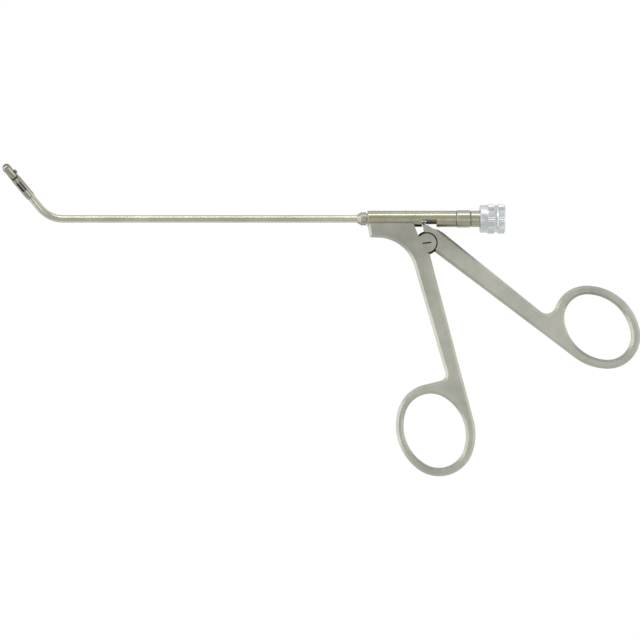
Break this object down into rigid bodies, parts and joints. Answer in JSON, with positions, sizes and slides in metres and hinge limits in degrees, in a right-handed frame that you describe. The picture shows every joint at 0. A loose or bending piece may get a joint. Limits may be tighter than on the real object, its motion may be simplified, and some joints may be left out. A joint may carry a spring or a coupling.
{
  "type": "surgical forceps",
  "caption": "Sinus forceps with finger rings, a long thin shaft bent near the tip, a small cup jaw that the rear handle closes, and a knurled knob that turns the shaft.",
  "frame": {"origin": "on the axis of the handle pivot, at the underside of the hub", "axes": "+X back along the shaft towards the knob, +Y from the finger rings up to the shaft, +Z from the underside to the upper side, along the pivot"},
  "size_m": [0.229, 0.1122, 0.012],
  "materials": {
    "handle_steel": "fine satin, grey",
    "screw_steel": "satin",
    "shaft_steel": "satin with a warm tint",
    "collar_steel": "turned satin with a warm tint",
    "head_steel": "satin with a warm tint",
    "link_steel": "polished",
    "knob_steel": "bright, finely knurled",
    "inner_steel": "turned"
  },
  "bodies": {
    "grip": {"front_handle": "handle_steel", "pivot_screw": "screw_steel", "barrel": "shaft_steel", "rear_collar": "collar_steel", "front_washer": "inner_steel", "drag_washer": "inner_steel"},
    "lever": {"rear_handle": "handle_steel", "drive_pin": "screw_steel"},
    "shaft": {"nose_ferrule": "shaft_steel", "shaft_tube": "shaft_steel", "jaw_head": "head_steel", "head_rivet": "screw_steel", "jaw_pin": "screw_steel", "knob_sleeve": "inner_steel", "knob_hub": "collar_steel", "knob": "knob_steel", "knob_washer": "inner_steel", "knob_screw": "screw_steel", "knob_key": "inner_steel"},
    "rod": {"piston": "link_steel", "pull_rod": "link_steel", "key_bar": "link_steel"},
    "wire": {"bend_wire": "link_steel"},
    "link": {"tip_link": "link_steel", "cam_pin": "link_steel"},
    "jaw": {"moving_jaw": "head_steel"}
  },
  "joints": [
    {"name": "handle_hinge", "type": "hinge", "parent": "grip", "child": "lever", "pos_m": [0, 0, 0], "axis": [0, 0, 1], "range_deg": [-12, 0]},
    {"name": "shaft_turn", "type": "hinge", "parent": "grip", "child": "shaft", "pos_m": [0, 0.0087, 0.00265], "axis": [1, 0, 0], "continuous": true},
    {"name": "rod_slide", "type": "slide", "parent": "shaft", "child": "rod", "axis": [1, 0, 0], "range_m": [0, 0.00151]},
    {"name": "wire_turn", "type": "hinge", "parent": "shaft", "child": "wire", "pos_m": [-0.13098, 0.01864, 0.00494], "axis": [0, -0.225, 0.9744], "range_deg": [0, 8.48]},
    {"name": "link_slide", "type": "slide", "parent": "shaft", "child": "link", "axis": [0.6225, -0.7625, -0.176], "range_m": [0, 0.00151]},
    {"name": "jaw_hinge", "type": "hinge", "parent": "shaft", "child": "jaw", "pos_m": [-0.14888, 0.0246, 0.00632], "axis": [-0.7826, -0.6066, -0.14], "range_deg": [0, 22]}
  ],
  "couplings": [
    {"joint": "rod_slide", "follows": "handle_hinge", "m_per_rad": -0.007209},
    {"joint": "wire_turn", "follows": "handle_hinge", "ratio": -0.70676},
    {"joint": "link_slide", "follows": "handle_hinge", "m_per_rad": -0.007209},
    {"joint": "jaw_hinge", "follows": "handle_hinge", "ratio": -1.8333}
  ]
}
